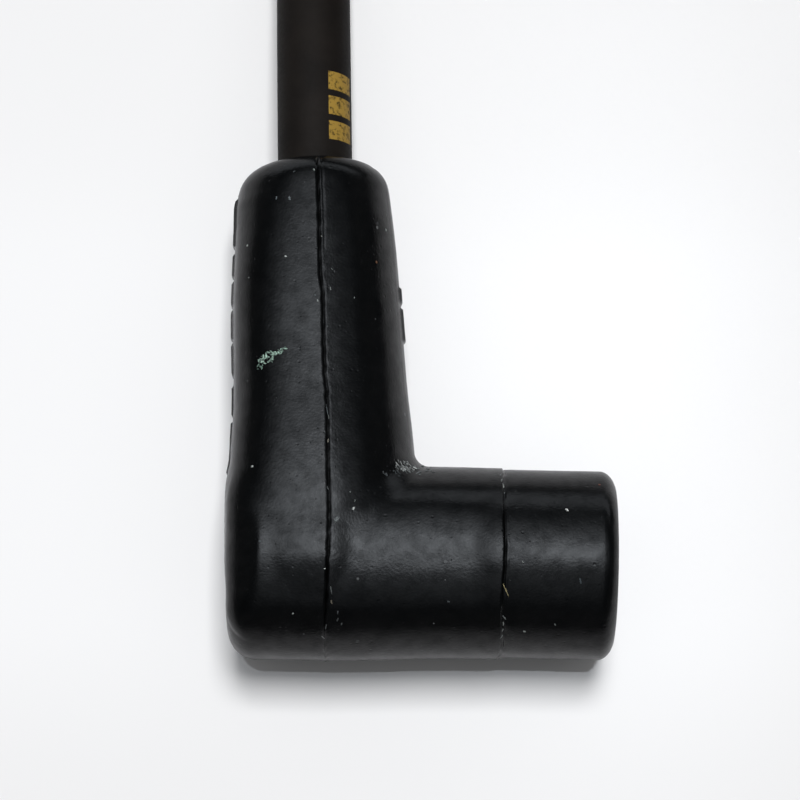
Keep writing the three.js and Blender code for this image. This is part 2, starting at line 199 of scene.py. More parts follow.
def tube(name, path, radius, sides):
    """A round tube along a path. Each ring stands square to the path, in a frame carried along without
    twist from straight up, and its UV map holds the share round the tube and the metres along it."""
    ahead = np.gradient(path, axis=0)
    ahead /= np.linalg.norm(ahead, axis=1)[:, None]
    up = np.array([0.0, 0.0, 1.0])
    ups = up - (ahead @ up)[:, None] * ahead
    ups /= np.linalg.norm(ups, axis=1)[:, None]
    rights = np.cross(ahead, ups)
    angle = np.linspace(0, 2 * np.pi, sides, endpoint=False)
    ring = np.cos(angle)[None, :, None] * ups[:, None] + np.sin(angle)[None, :, None] * rights[:, None]
    points = (path[:, None] + radius * ring).reshape(-1, 3)
    rows = len(path)
    ends = [list(range(sides))[::-1], [(rows - 1) * sides + i for i in range(sides)]]
    quads = grid_faces(rows, sides)[:, ::-1].tolist()
    piece = new_piece(name, points, quads + ends)
    along = np.concatenate([[0], np.cumsum(np.linalg.norm(np.diff(path, axis=0), axis=1))])
    uv_map = piece.data.uv_layers.new(name="along")
    corners = np.zeros(len(piece.data.loops), dtype=np.int64)
    piece.data.loops.foreach_get("vertex_index", corners)
    share = (corners % sides) / sides
    starts = np.zeros(len(piece.data.polygons), dtype=np.int64)
    piece.data.polygons.foreach_get("loop_start", starts)
    counts = np.diff(np.append(starts, len(corners)))
    face_least = np.repeat(np.minimum.reduceat(share, starts), counts)
    wraps = np.repeat(np.maximum.reduceat(share, starts), counts) - face_least > 0.5
    share = np.where(wraps & (share < 0.5), share + 1, share)
    uv = np.stack([share, along[corners // sides]], axis=1)
    uv_map.data.foreach_set("uv", uv.ravel())
    return piece


wire_path = smooth_path(route, 1.2 * MM)
wire = tube("wire", wire_path, WIRE_DIAMETER / 2 + 0.04 * MM, 56)


def colour(hex_value):
    """A linear colour from its sRGB hex value."""
    parts = [int(hex_value[i:i + 2], 16) / 255 for i in (1, 3, 5)]
    return (*[p / 12.92 if p <= 0.04045 else ((p + 0.055) / 1.055) ** 2.4 for p in parts], 1)


def add(material, kind, links=None, **settings):
    """A node in the material with its sockets set by name; a link gives another node's output."""
    tree = material.node_tree
    made = tree.nodes.new("ShaderNode" + kind)
    for name, value in settings.items():
        if name.startswith("in_"):
            made.inputs[name[3:].replace("_", " ")].default_value = value
        else:
            setattr(made, name, value)
    for socket, source in (links or {}).items():
        tree.links.new(source, made.inputs[socket])
    return made


def feed(material, node, socket, source):
    """Sets a node's socket, from another node's output or to a plain value."""
    if isinstance(source, bpy.types.NodeSocket):
        material.node_tree.links.new(source, node.inputs[socket])
    else:
        node.inputs[socket].default_value = source


def calculate(material, operation, first, second):
    """The result of a Math node on two sides, each a number or an output."""
    node = add(material, "Math", operation=operation)
    feed(material, node, 0, first)
    feed(material, node, 1, second)
    return node.outputs[0]


def noise(material, scale, detail, roughness=0.5):
    """Fractal noise over the piece's own space, between 0 and 1."""
    texture = add(
        material, "TexNoise", {"Vector": add(material, "TexCoord").outputs["Object"]},
        in_Scale=scale, in_Detail=detail, in_Roughness=roughness,
    )
    return texture.outputs["Fac"]


def spread(material, value, to_low, to_high, low=0.0, high=1.0):
    """A value from low to high spread evenly from to_low to to_high, and held at the ends."""
    spans = {"in_From_Min": low, "in_From_Max": high, "in_To_Min": to_low, "in_To_Max": to_high}
    return add(material, "MapRange", {"Value": value}, **spans).outputs["Result"]


def mixed(material, fac, first, second):
    """A colour between two, each a hex value or an output."""
    mix = add(material, "MixRGB", {"Fac": fac})
    for socket, source in (("Color1", first), ("Color2", second)):
        feed(material, mix, socket, colour(source) if isinstance(source, str) else source)
    return mix.outputs["Color"]


def bare_material(name):
    """A material without nodes."""
    material = bpy.data.materials.new(name)
    material.use_nodes = True
    material.node_tree.nodes.clear()
    return material


def new_material(name):
    """A material with a Principled shader on its output."""
    material = bare_material(name)
    shader = add(material, "BsdfPrincipled")
    add(material, "OutputMaterial", {"Surface": shader.outputs["BSDF"]})
    return material, shader


def wire_jacket():
    """Extruded silicone: brownish black in soft blotches, dull, with a fine grain and the gold print."""
    material, shader = new_material("wire_jacket")
    feed(material, shader, "Specular IOR Level", 0.2)
    uv = add(material, "UVMap", uv_map="along").outputs["UV"]
    metres = add(material, "SeparateXYZ", {"Vector": uv})
    grain = noise(material, 2600.0, 3.0)
    tone = add(material, "ValToRGB", {"Fac": noise(material, 260.0, 4.0)})
    for stop, at, tint in zip(tone.color_ramp.elements, (0.3, 0.75), ("#120f0d", "#1c1815")):
        stop.position = at
        stop.color = colour(tint)
    ink = mixed(material, print_mask(material, metres), tone.outputs["Color"], "#987b36")
    feed(material, shader, "Base Color", ink)
    feed(material, shader, "Roughness", spread(material, grain, 0.48, 0.68))
    bump = add(material, "Bump", {"Height": grain}, in_Strength=0.25, in_Distance=0.03 * MM)
    feed(material, shader, "Normal", bump.outputs["Normal"])
    return material


# Gold print on the jacket: three plain bars across the wire, worn at their edges
PRINT_START = 28.05 * MM
PRINT_PITCH = 2.75 * MM
PRINT_BAR = 2.05 * MM
PRINT_COUNT = 3
PRINT_TURN = (0.067, 0.205)


def print_mask(material, metres):
    """1 inside the bars, 0 outside: a repeat along the wire, cut to the bars' turn round it."""
    along = calculate(material, "SUBTRACT", metres.outputs["Y"], PRINT_START)
    mask = calculate(material, "LESS_THAN", calculate(material, "MODULO", along, PRINT_PITCH), PRINT_BAR)
    for source, low, high in (
        (along, 0.0, PRINT_COUNT * PRINT_PITCH),
        (metres.outputs["X"], *PRINT_TURN),
    ):
        mask = calculate(material, "MULTIPLY", mask, calculate(material, "GREATER_THAN", source, low))
        mask = calculate(material, "MULTIPLY", mask, calculate(material, "LESS_THAN", source, high))
    worn = spread(material, noise(material, 2400.0, 4.0), 0.0, 1.0, low=0.3, high=0.5)
    return calculate(material, "MULTIPLY", mask, worn)


wire.data.materials.append(wire_jacket())
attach(wire, "root")
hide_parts("wire_lead", "wire_coil", "wire_tail")


# Elbow boot. One moulding of black rubber: a socket leg that grips the plug and a cable leg that grips
# the wire. The mould left a parting line down the cable leg, a second one round the socket leg where its
# sleeve was closed, a rounded crotch and raised marks on both flanks.
MOUTH_REACH = 30.4 * MM
ELBOW_BACK = 10 * MM
ELBOW_ROUND = 3 * MM
HEEL_SWELL = 0.05
FLANK_RADIUS = 3.5 * MM
FLANK_RISE = 5.11 * MM
FLANK_LEAN = np.radians(40)
CROTCH_ROUND = 1.6 * MM
SHALLOW_ROUND = 7 * MM
SLEEVE_START = 18.6 * MM
SLEEVE_STEP = 0.15 * MM
MOUTH_LENGTH = 1.6 * MM
MOUTH_DROP = 1.4 * MM
MOUTH_CHAMFER = 0.6 * MM
CAVITY_RADIUS = 5.25 * MM
SOCKET_FLOOR = 5.7 * MM
GRIP_RADIUS = 4.03 * MM
LIP_RADIUS = 4.5 * MM
BORE_STATIONS = np.array([10, 20, 28.6, 29, 29.2, 35, 42, 42.6, 42.8]) * MM
CABLE_END_ROUND = 3.2 * MM
CABLE_END_RADIUS = 7.95 * MM
RIB_HEIGHT = 0.5 * MM
RIB_WIDTH = 1.4 * MM
RIB_INSETS = (4, 8, 12)
CABLE_TAPER = np.array([
    (0, 10.1), (7.1, 10.05), (11.9, 9.78), (17.5, 9.33), (22.3, 9.06), (27.1, 8.85), (31.9, 8.6),
    (36, 8.32), (39.9, 7.95), (44, 7.5),
]) * MM
LEFT_SWELL = np.array([
    (0, 0), (6, -0.06), (11, -0.17), (16, -0.14), (20.5, 0.08), (24, 0.25), (28, 0.35), (33, 0.34),
    (36, 0.4), (38.3, 0.56), (39.9, 0.42), (42.8, 0.2),
]) * MM
BLEND_REACH = 15 * MM
FLANK_FADE = 22 * MM
BULGE_FADE = 43 * MM


def half_turn(fine, coarse, reach):
    """Angles from 0 to a half turn, fine apart near both ends and coarse apart between."""
    angle = np.linspace(0, np.pi, 4001)
    edge = np.minimum(angle, np.pi - angle)
    gap = fine + (coarse - fine) * ease((edge - reach) / reach)
    count = np.concatenate([[0], np.cumsum(np.diff(angle) / gap[1:])])
    steps = int(round(count[-1]))
    return np.interp(np.linspace(0, count[-1], steps + 1), count, angle)


side_angles = half_turn(fine=0.0115, coarse=0.034, reach=0.11)
round_angles = np.concatenate([side_angles, 2 * np.pi - side_angles[-2:0:-1]])


def cable_radius(along):
    """Radius of the cable leg at a height along it, eased between the measured stations."""
    at, radius = CABLE_TAPER[:, 0], CABLE_TAPER[:, 1]
    slope = np.gradient(radius, at)
    i = np.clip(np.searchsorted(at, along, side="right") - 1, 0, len(at) - 2)
    h = at[i + 1] - at[i]
    t = np.clip((along - at[i]) / h, 0, 1)
    return curve_between(t, h, radius[i], radius[i + 1], slope[i], slope[i + 1])


def left_share(side, along):
    """How much wider the cable leg is on its left than on its right, as a factor: 1 on the right."""
    swell = np.interp(along, LEFT_SWELL[:, 0], LEFT_SWELL[:, 1])
    return np.where(side < 0, 1 + swell / cable_radius(along), 1)


def left_power(side, along):
    """Power of the cable leg's section: 2 for a circle, more where its left side runs into the flank."""
    low, whole = ease((FLANK_FADE - along) / (14 * MM)), ease((BULGE_FADE - along) / (14 * MM))
    return np.where(side < 0, 2 + 0.4 * low + 0.6 * whole, 2)


def ball_join(first, second, near, radius):
    """Distance to the body inside both of two skins, its edge rounded by a ball that rolls along inside.
    near is the cosine between the ways the skins face. Past the ball's reach it is the larger distance."""
    u, v = first + radius, second + radius
    inside = (u - near * v > 0) & (v - near * u > 0)
    spread = np.sqrt(np.maximum(u * u + v * v - 2 * near * u * v, 0) / (1 - near**2))
    return np.where(inside, spread - radius, np.maximum(first, second))


def boot_distance(points):
    """Distance to the skin near the elbow. The socket leg is a cylinder cut off by its back, whose flank
    is round and runs out flat on top, with a ball rolled along their edge. The cable leg joins it in the
    hollow of a ball that rolls between the two, larger where they meet at a shallow angle."""
    q = points - elbow
    q[:, 1] /= np.where(q[:, 1] < 0, 1 + HEEL_SWELL * ease(1 - q[:, 0] / BLEND_REACH), 1)
    across = np.hypot(q[:, 1], q[:, 2])
    back = np.minimum(q[:, 0] + ELBOW_BACK - FLANK_RADIUS, 0)
    rise = np.maximum(np.abs(q[:, 2]) - FLANK_RISE, 0)
    lean = np.maximum(np.arctan2(-back, rise), FLANK_LEAN)
    flank = rise * np.cos(lean) - back * np.sin(lean) - FLANK_RADIUS
    near = np.abs(q[:, 2]) / np.maximum(across, 1e-9) * np.cos(lean)
    socket = ball_join(across - SOCKET_RADIUS, flank, near, ELBOW_ROUND)
    c = to_cable(points)
    c[:, 0] /= left_share(c[:, 0], c[:, 1])
    power = left_power(c[:, 0], c[:, 1])
    wide, high = np.abs(c[:, 0]), np.abs(c[:, 2])
    reach = np.maximum((wide**power + high**power) ** (1 / power), 1e-9)
    cable = np.hypot(reach, np.minimum(c[:, 1], 0)) - cable_radius(np.maximum(c[:, 1], 0))
    socket_out = np.stack([0 * across, q[:, 1], q[:, 2]], axis=1) / np.maximum(across, 1e-9)[:, None]
    wide, high = (wide / reach) ** (power - 1), (high / reach) ** (power - 1)
    cable_out = np.stack([wide * np.sign(c[:, 0]), np.minimum(c[:, 1], 0) / reach, high * np.sign(c[:, 2])])
    cable_out = (cable_out / np.linalg.norm(cable_out, axis=0)).T @ cable_turn.T
    near = np.clip(np.sum(socket_out * cable_out, axis=1), -0.3, 0.9995)
    ball = CROTCH_ROUND + (SHALLOW_ROUND - CROTCH_ROUND) * np.maximum(near, 0) ** 2
    return -ball_join(-socket, -cable, near, ball)


def settle(points, rounds=6):
    """Moves points onto the skin along its steepest slope, a few Newton steps at once for all points."""
    h = 0.01 * MM
    for _ in range(rounds):
        value = boot_distance(points)
        slope = np.stack([boot_distance(points + h * axis) - value for axis in np.eye(3)], axis=1) / h
        points = points - value[:, None] * slope / np.maximum(np.sum(slope**2, axis=1), 0.2)[:, None]
    return points


def around_socket(x, radius, angle):
    """Points round the socket's axis: x and radius by row, and angle from straight up by column."""
    x, radius, angle = np.broadcast_arrays(x, radius, angle)
    return elbow + np.stack([x, radius * np.sin(angle), radius * np.cos(angle)], axis=-1)


def around_cable(along, radius, angle):
    """Points round the cable leg's axis, in the same way, with its left side swelled."""
    along, radius, angle = np.broadcast_arrays(along, radius, angle)
    side, rise = np.sin(angle), np.cos(angle)
    power = left_power(side, along)
    reach = (np.abs(side)**power + np.abs(rise)**power) ** (1 / power)
    outer = radius > 6 * MM
    side = side * np.where(outer, left_share(side, along) / reach, 1)
    rise = rise / np.where(outer, reach, 1)
    return from_cable(np.stack([radius * side, along, radius * rise], axis=-1))


def between(first, last, rows, dense=0, reach=0):
    """Rows of points that run straight from one row to another, the first of them dense up to a share."""
    share = np.linspace(reach, 1, rows - dense)
    share = np.concatenate([np.linspace(0, reach, dense + 1)[:-1], share])[:, None, None]
    return first[None] * (1 - share) + last[None] * share


def meeting(radius, angle, side):
    """Where the two legs' skins meet, on the plane halfway between them: side is +1 or -1 along X."""
    out = radius * np.maximum(np.sin(angle), 0)
    return around_socket(side * out, radius, angle)


def quarter(radius, first, last, steps):
    """Cosines and sines of a quarter round, times its radius."""
    angle = np.radians(np.linspace(first, last, steps))
    return radius * np.cos(angle), radius * np.sin(angle)


def outer_skin():
    """The outside of the boot as three grids: the socket leg from the meeting out to its mouth, the
    cable leg from the meeting up to its lip, and the rounded back of the elbow."""
    angle = round_angles
    joint = meeting(SOCKET_RADIUS, angle, 1)
    ring = around_socket(BLEND_REACH, SOCKET_RADIUS, angle)
    near = settle(between(joint, ring, 56, 18, 0.06).reshape(-1, 3)).reshape(56, len(angle), 3)
    seam = SLEEVE_START
    plain = seam - 0.6 * MM
    first = np.linspace(BLEND_REACH, plain, 10)[1:]
    x = np.concatenate([
        first,
        np.linspace(plain, seam + 0.6 * MM, 19)[1:],
        np.linspace(seam + 0.6 * MM, MOUTH_REACH - MOUTH_LENGTH, 30)[1:],
    ])
    radius = SOCKET_RADIUS - SLEEVE_STEP * ease((x - seam) / (0.25 * MM) + 0.5)
    cos, sin = quarter(1, 0, 60, 12)
    x = np.concatenate([x, x[-1] + MOUTH_LENGTH * sin[1:] / sin[-1]])
    radius = np.concatenate([radius, radius[-1] - MOUTH_DROP * (1 - cos[1:]) / (1 - cos[-1])])
    lip = CAVITY_RADIUS + 2 * MOUTH_CHAMFER
    x = np.concatenate([x, [MOUTH_REACH] * 3])
    radius = np.concatenate([radius, [radius[-1] - 0.06 * MM, (radius[-1] + lip) / 2, lip]])
    far = around_socket(x[:, None], radius[:, None], angle[None])
    rows = far[:len(first)]
    fade = ease((plain - first) / (plain - BLEND_REACH))[:, None, None]
    rows += fade * (settle(rows.reshape(-1, 3)).reshape(rows.shape) - rows)
    socket = np.concatenate([near, far])

    up = angle <= np.pi
    joint = np.where(up[:, None], meeting(SOCKET_RADIUS, angle, 1), meeting(SOCKET_RADIUS, -angle, -1))
    ring = around_cable(BLEND_REACH, cable_radius(np.array([BLEND_REACH])), angle)
    near = settle(between(joint, ring, 46).reshape(-1, 3)).reshape(46, len(angle), 3)
    touch = CABLE_LEG_LENGTH - CABLE_END_ROUND
    along = np.linspace(BLEND_REACH, touch, 98)[1:]
    radius = cable_radius(along)
    cos, sin = quarter(CABLE_END_ROUND, 0, 90, 12)
    along = np.concatenate([along, touch + sin[1:]])
    radius = np.concatenate([radius, CABLE_END_RADIUS - CABLE_END_ROUND + cos[1:]])
    far = around_cable(along[:, None], radius[:, None], angle[None])
    cable = np.concatenate([near, far])

    rows = 46
    joint = meeting(SOCKET_RADIUS, angle, -1)
    straight = ELBOW_BACK - ELBOW_ROUND
    bend = ELBOW_ROUND * np.pi / 2
    flat = SOCKET_RADIUS - ELBOW_ROUND
    out = SOCKET_RADIUS * np.maximum(np.sin(angle), 0)
    start = np.where(out < straight, out, straight + ELBOW_ROUND * np.arcsin(
        np.clip((out - straight) / ELBOW_ROUND, 0, 1)))
    share = np.linspace(0, 1, rows)[:-1, None]
    run = start + (straight + bend + flat - start) * share
    turned = np.clip((run - straight) / ELBOW_ROUND, 0, np.pi / 2)
    x = -np.minimum(run, straight) - ELBOW_ROUND * np.sin(turned)
    radius = flat + ELBOW_ROUND * np.cos(turned) - np.maximum(run - straight - bend, 0)
    back = around_socket(x, radius, angle[None])
    back = back + (1 - share[..., None]) ** 4 * (joint - back[0])
    back = settle(back.reshape(-1, 3)).reshape(back.shape)
    pole = np.broadcast_to(elbow - np.array([ELBOW_BACK, 0, 0]), (1, len(angle), 3))
    return socket, cable, np.concatenate([back, pole])


def inner_skin():
    """The two bores, which meet in the elbow in the same way: the ribbed socket, the cable bore that
    narrows to grip the wire, and the flat floor behind the terminal."""
    angle = round_angles
    ribs = [MOUTH_REACH, MOUTH_REACH - MOUTH_CHAMFER]
    radii = [CAVITY_RADIUS + 2 * MOUTH_CHAMFER, CAVITY_RADIUS]
    for inset in RIB_INSETS:
        swell = np.linspace(-1, 1, 9)
        ribs += list(MOUTH_REACH - inset * MM - swell * RIB_WIDTH / 2)
        radii += list(CAVITY_RADIUS - RIB_HEIGHT * np.cos(swell * np.pi / 2))
    x = np.array(ribs + [14 * MM, 10 * MM])
    radius = np.array(radii + [CAVITY_RADIUS] * 2)
    socket = around_socket(x[:, None], radius[:, None], angle[None])
    socket = np.concatenate([socket, between(socket[-1], meeting(CAVITY_RADIUS, angle, 1), 10)[1:]])

    up = angle <= np.pi
    joint = np.where(up[:, None], meeting(CAVITY_RADIUS, angle, 1), meeting(CAVITY_RADIUS, -angle, -1))
    radius = np.array([CAVITY_RADIUS] * 3 + [5 * MM] + [GRIP_RADIUS] * 3 + [4.12 * MM, LIP_RADIUS])
    cable = around_cable(BORE_STATIONS[:, None], radius[:, None], angle[None])
    cable = np.concatenate([between(joint, cable[0], 8)[:-1], cable])

    joint = meeting(CAVITY_RADIUS, angle, -1)
    floor = around_socket(-SOCKET_FLOOR, CAVITY_RADIUS, angle)
    back = between(joint, floor, 5)
    pole = np.broadcast_to(elbow - np.array([SOCKET_FLOOR, 0, 0]), (1, len(angle), 3))
    return socket, cable, np.concatenate([back, pole])


def weld(piece, reach, least=0):
    """Merges points closer than a reach, takes out edges shorter than a least length, turns faces out."""
    work = bmesh.new()
    work.from_mesh(piece.data)
    bmesh.ops.remove_doubles(work, verts=work.verts, dist=reach)
    if least:
        bmesh.ops.dissolve_degenerate(work, edges=work.edges, dist=least)
    bmesh.ops.recalc_face_normals(work, faces=work.faces)
    work.to_mesh(piece.data)
    work.free()
    return piece


def joined_grids(name, grids):
    """One closed mesh of several grids that wrap round, with shared edges merged and faces turned out."""
    points, faces, count = [], [], 0
    for grid in grids:
        rows, columns = grid.shape[:2]
        points.append(grid.reshape(-1, 3))
        faces.append(grid_faces(rows, columns) + count)
        count += rows * columns
    return weld(new_piece(name, np.concatenate(points), np.concatenate(faces)), 0.0015 * MM, 0.0005 * MM)


def waves(place, size, seed):
    """Smooth noise between about -1 and 1 from a sum of sine waves of one size with seeded directions."""
    chance = np.random.default_rng(seed)
    total = np.zeros(len(place))
    for _ in range(9):
        way = chance.normal(size=place.shape[1])
        way /= np.linalg.norm(way)
        total += np.sin(place @ way * (2 * np.pi / size * chance.uniform(0.7, 1.4)) + chance.uniform(0, 7))
    return total / 4.2


# What the mould left on the skin: a parting line down the cable leg and on round the elbow, with one half a
# little lower, a ragged line where the sleeve was closed, plain bars raised on both flanks, a low step up to
# the socket leg and a slight unevenness all over
SEAM_PLACE = 0.35 * MM
SEAM_WIDTH = 0.15 * MM
SEAM_DEPTH = 0.22 * MM
HALF_DROP = 0.13 * MM
HALF_DROP_REACH = 1.3 * MM
MARK_HEIGHT = 0.24 * MM
MARK_HALF_WIDTH = 1.3 * MM
SLEEVE_LINE = 0.12 * MM
SOCKET_STEP = 0.14 * MM
LEFT_MARKS = [
    (9.1, 15), (15.4, 18.9), (19.9, 23.5), (23.9, 27.1), (27.5, 30.2), (30.7, 33.3), (34, 39.3),
]
RIGHT_MARKS = [(23.1, 26.9), (27.3, 29.2)]
SEAM_STRAY = [
    (-7.5, 0), (-4, 0.15), (2.7, 0.4), (10, 0.52), (17.4, 0.5), (18.2, 0.37), (27.9, 0.3), (28.6, 0.14),
    (41, 0.1),
]


def ridge(place, width):
    """A bell curve round zero."""
    return np.exp(-(place / width) ** 2)


def moulding_marks(points):
    """How far each point stands out of the plain form, and its painted shade, 1 in the middle of a line: the
    parting line, the middle of the sleeve line and the raised bars get a darker colour and less sheen in the
    rubber, standing in for their shade. A line is a bell curve over the distance from it, shifted, deepened
    and widened by noise along its run."""
    q = points - elbow
    c = to_cable(points)
    outside = np.hypot(q[:, 1], q[:, 2]) > 8.5 * MM
    outside |= (c[:, 1] > 0) & (np.hypot(c[:, 0], c[:, 2]) > 6.5 * MM)
    outside &= q[:, 0] < MOUTH_REACH - 0.2 * MM

    run = np.where(c[:, 1] > 0, c[:, 1], -SOCKET_RADIUS * np.arctan2(-q[:, 1], np.abs(q[:, 2])))[:, None]
    stray = np.interp(q[:, 1] / MM, *np.transpose(SEAM_STRAY)) * MM
    cross = np.where(c[:, 1] > 0, c[:, 0], q[:, 0]) - SEAM_PLACE - stray
    cross -= 0.05 * MM * waves(run, 9 * MM, 3) + 0.045 * MM * waves(run, 1.6 * MM, 4)
    on_line = outside & ((np.abs(c[:, 2]) > 0.3 * np.abs(c[:, 0])) | (c[:, 1] < 0))
    on_line &= (c[:, 1] < CABLE_LEG_LENGTH - 0.6 * MM) & (q[:, 0] < 9 * MM)
    depth = SEAM_DEPTH * (0.8 + 0.3 * waves(run, 3.1 * MM, 5))
    depth *= 1 - 1.5 * ease((-q[:, 1] - 5 * MM) / (3 * MM))
    line = -depth * ridge(cross, SEAM_WIDTH)
    line += 0.025 * MM * waves(run, 1.7 * MM, 11) * ridge(cross - 0.3 * MM, 0.12 * MM)
    upper = ease((c[:, 1] - 31 * MM) / (2 * MM))
    line -= 0.05 * MM * upper * ridge(cross - 0.5 * MM, 0.07 * MM)
    past = np.maximum(cross, 0)
    lower_half = -HALF_DROP * (1 - np.exp(-past / HALF_DROP_REACH)) * np.exp(-(past / (6 * MM)) ** 2)
    line += lower_half * ease((c[:, 1] - 6 * MM) / (6 * MM))
    height = np.where(on_line, line, 0)
    # Painted shade along the parting line, in a ragged band: darker colour and less sheen stand in for the
    # shade in its groove
    ragged = SEAM_WIDTH * (0.82 + 0.3 * waves(run, 2.4 * MM, 13))
    shade = np.where(on_line & (q[:, 1] > -7.5 * MM), ridge(cross, ragged), 0)

    around = np.stack([q[:, 1], q[:, 2]], axis=1)
    cross = q[:, 0] - SLEEVE_START
    cross -= 0.14 * MM * waves(around, 11 * MM, 6) + 0.06 * MM * waves(around, 2.4 * MM, 7)
    ring = -0.2 * MM * (0.75 + 0.4 * waves(around, 3.3 * MM, 8)) * ridge(cross, SLEEVE_LINE)
    ring += 0.03 * MM * waves(around, 1.9 * MM, 12) * ridge(cross - 0.3 * MM, 0.14 * MM)
    sleeve = outside & (q[:, 0] > 15 * MM)
    height += np.where(sleeve, ring, 0)
    # Painted shade along the sleeve line, only on its upper middle stretch: darker colour and less sheen
    # stand in for the shade in its groove
    dark = ease((q[:, 1] + 5.5 * MM) / (2 * MM)) * ease((7 * MM - q[:, 1]) / (3 * MM))
    shade += np.where(sleeve & (q[:, 2] > 2 * MM), dark * ridge(cross, SLEEVE_LINE), 0)

    band = ease((MARK_HALF_WIDTH - np.abs(c[:, 2])) / (0.2 * MM)) * outside
    for side, marks in ((-1, LEFT_MARKS), (1, RIGHT_MARKS)):
        for low, high in marks:
            inside = ease((c[:, 1] - low * MM) / (0.25 * MM))
            inside *= ease((high * MM - c[:, 1]) / (0.25 * MM))
            raised = inside * band * (side * c[:, 0] > 5 * MM)
            height += MARK_HEIGHT * raised
            # Painted shade on the raised bars: darker colour and less sheen
            shade += 0.85 * raised
    step = SOCKET_STEP * ease((q[:, 1] - 1 * MM) / (3.4 * MM)) * ease((q[:, 2] - 6 * MM) / (3 * MM))
    height -= outside * step * ease((4 * MM - q[:, 0]) / (4 * MM))
    height += outside * (0.02 * MM * waves(q, 8 * MM, 9) + 0.004 * MM * waves(q, 2.1 * MM, 10))
    return height, np.minimum(shade, 1)


def boot_piece():
    """The boot's mesh: both skins as one closed body, with the mould's marks raised along its normals."""
    piece = joined_grids("elbow_boot", [*outer_skin(), *inner_skin(), *boot_rims()])
    mesh = piece.data
    points = np.zeros(3 * len(mesh.vertices))
    mesh.vertices.foreach_get("co", points)
    points = points.reshape(-1, 3)
    out = np.zeros(3 * len(mesh.vertices))
    mesh.vertex_normals.foreach_get("vector", out)
    height, shade = moulding_marks(points)
    points = points + height[:, None] * out.reshape(-1, 3)
    points[:, 2] = np.maximum(points[:, 2], 0)
    mesh.vertices.foreach_set("co", points.ravel())
    mesh.update()
    # The painted shade of the lines and bars goes to the rubber as a point attribute
    mesh.attributes.new("painted_line_shade", "FLOAT", "POINT").data.foreach_set("value", shade)
    return piece


def boot_rims():
    """The narrow ring that joins the outer skin to the cable bore at the lip of the cable leg."""
    angle = round_angles
    radius = np.array([CABLE_END_RADIUS - CABLE_END_ROUND, LIP_RADIUS])
    return (around_cable(CABLE_LEG_LENGTH, radius[:, None], angle[None]),)


boot = boot_piece()


# Rubber of the boots: carbon-filled and pressed in a steel mould. It looks bluish black, with a dull sheen
# that fine pits and cloudy patches break up, and with pale dust caught on it. Its parting lines and raised
# bars carry painted shade: a darker colour and less sheen.
def speckles(material, place, scale, size, share):
    """Small round specks, one in some cells of a pattern: 1 inside a speck times its own brightness."""
    cells = add(material, "TexVoronoi", {"Vector": place}, in_Scale=scale)
    own = add(material, "SeparateColor", {"Color": cells.outputs["Color"]})
    reach = calculate(material, "MULTIPLY", own.outputs["Blue"], size * 2)
    near = calculate(material, "LESS_THAN", cells.outputs["Distance"], reach)
    chosen = calculate(material, "LESS_THAN", own.outputs["Red"], share)
    dust = calculate(material, "MULTIPLY", near, chosen)
    return calculate(material, "MULTIPLY", dust, own.outputs["Green"])


def dimples(material, place):
    """Round pits left by bubbles, in about a third of the cells of a pattern: 0 in a pit, 1 outside."""
    cells = add(material, "TexVoronoi", {"Vector": place}, in_Scale=1500.0)
    own = add(material, "SeparateColor", {"Color": cells.outputs["Color"]})
    wide = spread(material, own.outputs["Green"], 0.12, 0.34)
    near = {"Value": cells.outputs["Distance"], "From Max": wide}
    bowl = add(material, "MapRange", near, interpolation_type="SMOOTHSTEP")
    spared = calculate(material, "GREATER_THAN", own.outputs["Red"], 0.34)
    return calculate(material, "MAXIMUM", bowl.outputs["Result"], spared)


def moulded_rubber():
    """Bluish black with quarter-millimetre pits, cloudy sheen, dust, and painted shade on its lines and bars.
    """
    material, shader = new_material("moulded_rubber")
    place = add(material, "TexCoord").outputs["Object"]
    gloss = spread(material, noise(material, 700.0, 5.0, 0.65), 0.28, 0.46, low=0.36, high=0.6)
    # Painted shade: on a marked line or bar the sheen is cut to six per cent of its own
    shade = add(material, "Attribute", attribute_name="painted_line_shade").outputs["Fac"]
    bright = spread(material, shade, 1.0, 0.06)
    feed(material, shader, "Specular IOR Level", calculate(material, "MULTIPLY", gloss, bright))
    rough = spread(material, noise(material, 380.0, 5.0, 0.6), 0.14, 0.27, low=0.3, high=0.7)
    feed(material, shader, "Roughness", rough)
    fine = speckles(material, place, scale=900.0, size=0.1, share=0.09)
    coarse = speckles(material, place, scale=260.0, size=0.045, share=0.06)
    base = mixed(material, fine, "#060708", "#5c5f60")
    base = mixed(material, coarse, base, "#a9aba6")
    # Painted shade: marked lines and bars darken towards near black
    base = mixed(material, shade, base, "#020202")
    feed(material, shader, "Base Color", base)
    hollow = {"Height": dimples(material, place)}
    first = add(material, "Bump", hollow, in_Strength=0.8, in_Distance=0.03 * MM)
    pits = {"Height": noise(material, 3600.0, 3.0, 0.6), "Normal": first.outputs["Normal"]}
    second = add(material, "Bump", pits, in_Strength=1.0, in_Distance=0.022 * MM)
    feed(material, shader, "Normal", second.outputs["Normal"])
    return material


rubber = moulded_rubber()
boot.data.materials.append(rubber)
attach(boot, "root")
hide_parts("plug_boot")


# Far boot. A straight moulded boot of the same rubber at the other end of the wire, lathed: a narrow neck
# that grips the wire, a cone, a wide skirt over the terminal, three low finger rings and a parting line.
FAR_START = 44 * MM
FAR_LENGTH = 50 * MM
FAR_NECK = 6.6 * MM
FAR_SKIRT = 8.8 * MM
FAR_BARREL = 13 * MM
FAR_CONE = (8 * MM, 18 * MM)
FAR_EDGE = 1.4 * MM
FAR_LIP_RADIUS = 4.3 * MM
FAR_RIM_RADIUS = 5.85 * MM
FAR_RING_RISE = 0.3 * MM
FAR_RINGS = (22, 25, 28)
FAR_CLOSE = 33 * MM


